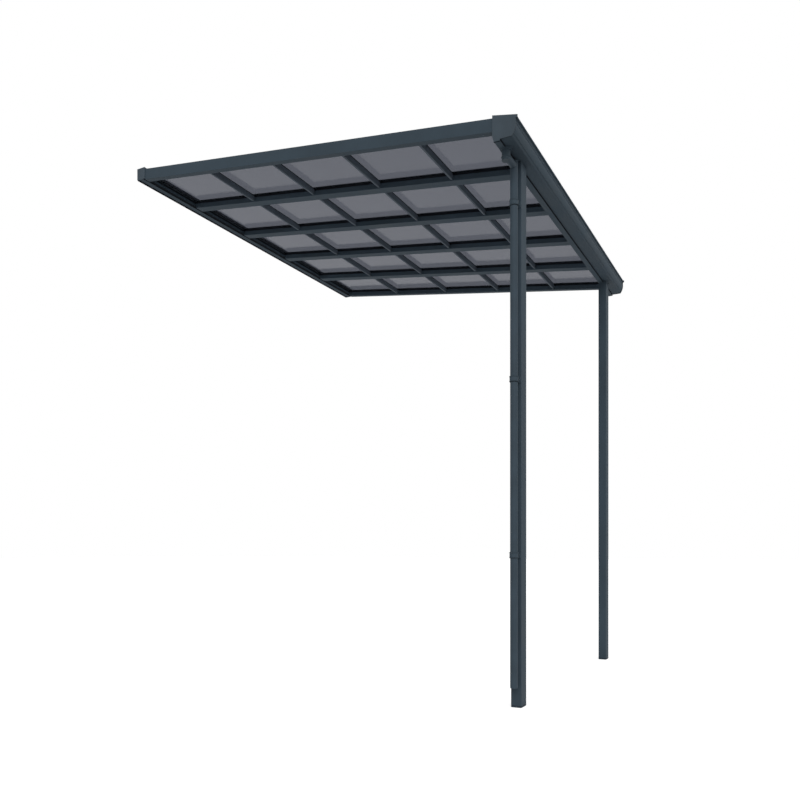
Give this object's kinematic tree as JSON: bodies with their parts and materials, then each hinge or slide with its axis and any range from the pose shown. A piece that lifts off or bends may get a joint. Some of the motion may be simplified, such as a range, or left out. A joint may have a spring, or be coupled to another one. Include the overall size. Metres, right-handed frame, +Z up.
{
  "type": "patio cover",
  "caption": "Wall-mounted lean-to patio cover: dark metal frame, tinted roof panels on a grid of rafters and crossbars, front gutter with a downpipe, two posts.",
  "frame": {"origin": "on the back face of the wall profile, halfway along it and halfway up", "axes": "+Z up, +Y into the wall, -Y to the front gutter, +X along the wall"},
  "size_m": [2.362, 2.395, 3.061],
  "materials": {
    "coated_aluminium": "fine satin powder coat, anthracite",
    "tinted_panel": "smoky grey translucent sheet",
    "cap_plastic": "moulded, fine grain",
    "pipe_plastic": "smooth, slightly matt",
    "cast_fitting": "coated casting"
  },
  "bodies": {
    "root": {"cover_strip_1": "coated_aluminium", "cover_strip_2": "coated_aluminium", "cover_strip_3": "coated_aluminium", "cover_strip_4": "coated_aluminium", "cover_strip_5": "coated_aluminium", "cover_strip_6": "coated_aluminium", "crossbar_row_1": "coated_aluminium", "crossbar_row_2": "coated_aluminium", "crossbar_row_3": "coated_aluminium", "crossbar_row_4": "coated_aluminium", "downpipe": "pipe_plastic", "gutter": "coated_aluminium", "gutter_cap_left": "cap_plastic", "gutter_cap_right": "cap_plastic", "pipe_clip_1": "pipe_plastic", "pipe_clip_2": "pipe_plastic", "pipe_clip_3": "pipe_plastic", "pipe_elbow": "pipe_plastic", "post_foot_left": "cast_fitting", "post_foot_right": "cast_fitting", "post_head_left": "cast_fitting", "post_head_right": "cast_fitting", "post_left": "coated_aluminium", "post_right": "coated_aluminium", "rafter_1": "coated_aluminium", "rafter_2": "coated_aluminium", "rafter_3": "coated_aluminium", "rafter_4": "coated_aluminium", "roof_panel_1": "tinted_panel", "roof_panel_2": "tinted_panel", "roof_panel_3": "tinted_panel", "roof_panel_4": "tinted_panel", "roof_panel_5": "tinted_panel", "side_rafter_left": "coated_aluminium", "side_rafter_right": "coated_aluminium", "wall_profile": "coated_aluminium", "wall_profile_cap_left": "cap_plastic", "wall_profile_cap_right": "cap_plastic"}
  },
  "joints": []
}
